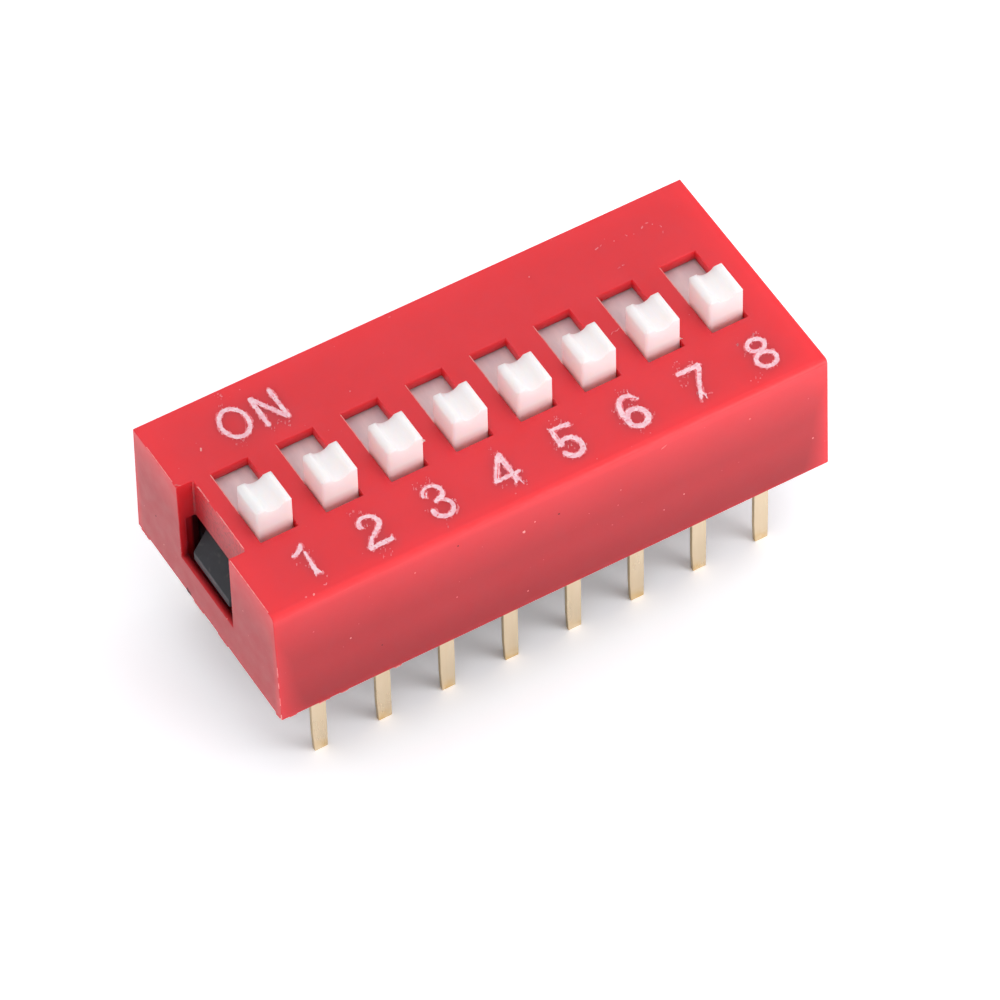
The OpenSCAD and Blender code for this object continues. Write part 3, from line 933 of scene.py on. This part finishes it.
def streak(path, draw):
    """Outline of an uneven stripe along a stroke, pointed at both ends."""
    lengths = np.concatenate([[0], np.cumsum(np.linalg.norm(np.diff(path[:, :2], axis=0), axis=1))])
    places = np.linspace(0, lengths[-1], STREAK_STEPS)
    middle = np.stack([np.interp(places, lengths, path[:, k]) for k in (0, 1)], axis=1)
    along = np.gradient(middle, axis=0)
    across = np.stack([-along[:, 1], along[:, 0]], axis=1)
    across /= np.linalg.norm(across, axis=1)[:, None]
    width = np.interp(places, lengths, path[:, 2]) * draw.uniform(*STREAK_UNEVEN, STREAK_STEPS)
    width[[0, -1]] *= STREAK_POINT
    right, left = middle - across * width[:, None], middle + across * width[:, None]
    return [tuple(point) for point in np.concatenate([right, left[::-1]])]


def specks(centre, legend, draw):
    """Outlines of the spots and short streaks of thin ink beside a legend."""
    slant = np.array([math.cos(math.radians(SLANT)), math.sin(math.radians(SLANT))])
    outlines = []
    for x, y, spread, count in legend.specks:
        for k in range(count):
            place = np.array(centre) + (x, y) + draw.uniform(-spread, spread, 2)
            size = draw.uniform(*SPECK_SIZE)
            reach = slant * draw.uniform(*DRAG_LENGTH)
            if k % 2:
                half = DRAG_WIDTH * size
                outlines.append(streak(line((*(place - reach), half), (*(place + reach), half)), draw))
            else:
                outlines.append(spot(*place, size, draw))
    return outlines


def print_legend(name, centre, legend, ink, seed):
    """Adds the ink of one legend, and returns the thin ink round it."""
    draw = np.random.default_rng(seed)
    every = np.concatenate(legend.strokes)[:, :2]
    low, high = every.min(0) - PRINT_MARGIN, every.max(0) + PRINT_MARGIN
    xs, ys = (np.arange(low[k], high[k], PRINT_CELL) for k in (0, 1))
    grid = np.stack(np.meshgrid(xs, ys, indexing="ij"), axis=-1)
    places = grid + np.array(centre)
    add_piece(name, [film(places, ink_field(grid, legend, draw), PRINT_RISE)], ink, "housing")
    fringe = film(places, fringe_field(grid, legend, draw), THIN_RISE)
    return [fringe] + [plate(outline, on_top) for outline in specks(centre, legend, draw)]


def print_legends():
    """The numbers, the word ON, and the thin ink that lies beside them."""
    ink, draw = worn_ink(), np.random.default_rng(TOP_SEED)
    parts = print_legend("legend_on", ON_CENTRE, ON, ink, LEGEND_SEED)
    for position, legend in DIGITS.items():
        centre = (slot_x(position) + DIGIT_SHIFT, DIGIT_ROW_Y)
        parts += print_legend(f"legend_{position}", centre, legend, ink, LEGEND_SEED + position)
    parts += [plate(streak(path, draw), on_top) for path in TOP_SCRATCHES]
    parts += [plate(spot(*place, draw), on_top) for place in TOP_SPOTS]
    add_piece("thin_print", parts, thin_ink(), "housing")


def mark_cover(flash):
    """Chips, scratches and dirt on the cover."""
    draw = np.random.default_rng(MARK_SEED)
    chips = [plate(streak(path, draw), on_top) for path in TOP_CHIPS]
    chips += [plate(streak(path, draw), on_front) for path in FRONT_SCRATCHES]
    chips += [plate(spot(*place, draw), on_front) for place in FRONT_CHIPS]
    chips += [plate(spot(*place, draw), on_end) for place in END_CHIPS]
    add_piece("cover_chips", chips, flash, "housing")
    dirt = [plate(spot(*place, draw), on_front) for place in FRONT_DIRT]
    dirt += [plate(spot(*place, draw), on_end) for place in END_DIRT]
    add_piece("cover_dirt", dirt, dark_dirt(), "housing")


# Slivers


def sliver(start, end, side, lean, height, draw):
    """An uneven ridge from one point to another, which leans out to a height."""
    start, end, side, lean = (np.array(v, float) for v in (start, end, side, lean))
    count = max(int(np.linalg.norm(end - start) / FLASH_STEP), 3)
    vertices, faces = [], [[0, 1, 2], [3 * count + 2, 3 * count + 1, 3 * count]]
    for k in range(count + 1):
        place = start + (end - start) * k / count
        rise = height * draw.uniform(*FLASH_UNEVEN) * (FLASH_POINT if k in (0, count) else 1.0)
        vertices += [place - side * FLASH_HALF_WIDTH, place + side * FLASH_HALF_WIDTH, place + lean * rise]
    for k in range(0, 3 * count, 3):
        faces += [[k + b, k + a, k + 3 + a, k + 3 + b] for a, b in ((0, 1), (1, 2), (2, 0))]
    return vertices, faces


def add_flash(flash):
    """Slivers along the slots, the notch and the lower edges of the cover."""
    draw = np.random.default_rng(FLASH_SEED)
    z, end_x, rim = top_z, cover_low.x, cover_low.z
    back_x = end_x + NOTCH_DEPTH + FLASH_HALF_WIDTH
    top_x, rim_y = end_x + FLASH_INSET, front_y(rim)
    up, along_x, along_y = (0, 0, 1), (1, 0, 0), (0, 1, 0)
    edges = []
    for y0, y1, lean, height in NOTCH_BACK_FLASH:
        edges.append(((back_x, y0, z), (back_x, y1, z), along_x, lean, height))
    (x0, y0), (x1, y1), height = NOTCH_CORNER_FLASH
    edges.append(((end_x + x0, y0, z), (end_x + x1, y1, z), along_y, up, height))
    for y0, y1, height in END_TOP_FLASH:
        edges.append(((top_x, y0, z), (top_x, y1, z), along_x, up, height))
    for position in POSITIONS:
        x = slot_x(position) - SLOT_HALF_WIDTH - FLASH_HALF_WIDTH
        y0, y1, height = SLOT_FLASH
        edges.append(((x, y0, z), (x, y1, z), along_x, up, height))
    for z0, z1, height in FRONT_CORNER_FLASH:
        low, high = ((end_x, front_y(level), level) for level in (z0, z1))
        edges.append((low, high, along_x, CORNER_LEAN, height))
    for x0, x1, height in FRONT_RIM_FLASH:
        edges.append(((x0, rim_y, rim), (x1, rim_y, rim), along_y, FRONT_RIM_LEAN, height))
    for y0, y1, height in END_RIM_FLASH:
        edges.append(((end_x, y0, rim), (end_x, y1, rim), along_x, END_RIM_LEAN, height))
    add_piece("cover_flash", [sliver(*edge, draw) for edge in edges], flash, "housing")


def add_knob_flash(white):
    """A spur at a top corner of the third knob, and one at the foot of the seventh."""
    draw = np.random.default_rng(KNOB_SEED)
    y = KNOB_FRONT + KNOB_CORNER
    for position, low, high, reach in KNOB_FLASH:
        x = slot_x(position) + KNOB_HALF_WIDTH - KNOB_CORNER
        spur = sliver((x, y, low), (x, y, high), KNOB_SIDE, KNOB_LEAN, reach, draw)
        add_piece(f"knob_flash_{position}", [spur], white, f"slide_{position}")


make_camera()
make_world()
make_key_light()
make_floor()
white = white_plastic()
dress_nodes(white)
print_legends()
pale_flash = red_flash()
mark_cover(pale_flash)
add_flash(pale_flash)
add_knob_flash(white)

bpy.context.scene.view_settings.view_transform = "Standard"
